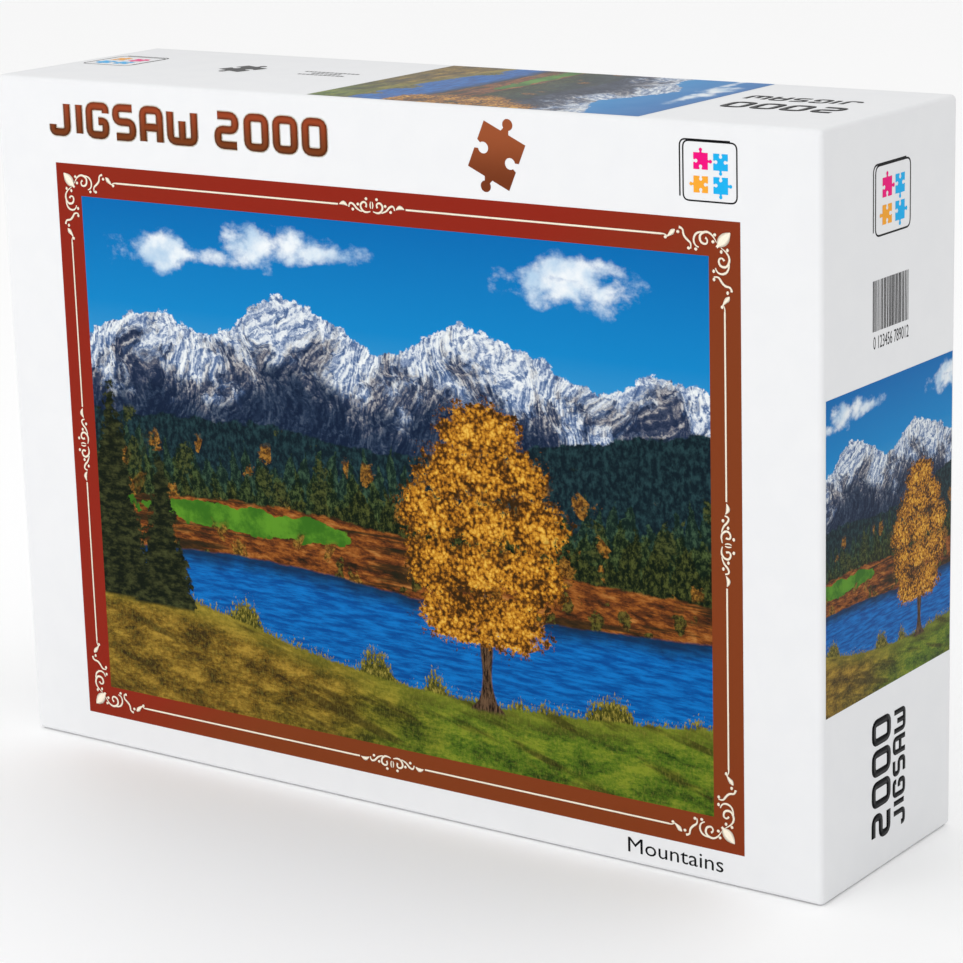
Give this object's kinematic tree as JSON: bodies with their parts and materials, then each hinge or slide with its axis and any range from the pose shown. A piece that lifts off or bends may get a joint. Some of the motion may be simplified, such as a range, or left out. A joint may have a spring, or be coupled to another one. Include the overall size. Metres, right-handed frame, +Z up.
{
  "type": "boxed jigsaw puzzle",
  "caption": "Rigid telescoping gift box standing on its long side, with a printed alpine picture on the lid, holding film bags of loose jigsaw pieces and a folded poster.",
  "frame": {"origin": "centre of the side that the box stands on", "axes": "+Z up, +X to the right as the printed face is seen from the front, +Y from the printed face of the lid to the back of the base"},
  "size_m": [0.37, 0.095, 0.27],
  "materials": {
    "greyboard": "matte",
    "lid_print": "satin",
    "base_print": "satin",
    "stay_paper": "matte",
    "poster_print": "satin",
    "bag_film": "gloss",
    "puzzle_pieces": "satin"
  },
  "bodies": {
    "base": {"base_board": "greyboard", "base_wrap": "base_print", "base_corner_stay_upper_right": "stay_paper", "base_corner_stay_upper_left": "stay_paper", "base_corner_stay_lower_left": "stay_paper", "base_corner_stay_lower_right": "stay_paper"},
    "lid": {"lid_board": "greyboard", "lid_wrap": "lid_print", "lid_corner_stay_upper_right": "stay_paper", "lid_corner_stay_upper_left": "stay_paper", "lid_corner_stay_lower_left": "stay_paper", "lid_corner_stay_lower_right": "stay_paper"},
    "poster": {"poster": "poster_print"},
    "bag_left": {"bag_left_film": "bag_film", "bag_left_pieces": "puzzle_pieces"},
    "bag_right": {"bag_right_film": "bag_film", "bag_right_pieces": "puzzle_pieces"}
  },
  "joints": [
    {"name": "lid_lift", "type": "slide", "parent": "base", "child": "lid", "axis": [0, -1, 0], "range_m": [0, 0.24]},
    {"name": "poster_shift", "type": "slide", "parent": "base", "child": "poster", "axis": [0, 0, 1], "range_m": [0, 0.045]},
    {"name": "bag_left_shift", "type": "slide", "parent": "base", "child": "bag_left", "axis": [0, 0, 1], "range_m": [0, 0.125]},
    {"name": "bag_right_shift", "type": "slide", "parent": "base", "child": "bag_right", "axis": [0, 0, 1], "range_m": [0, 0.125]}
  ]
}
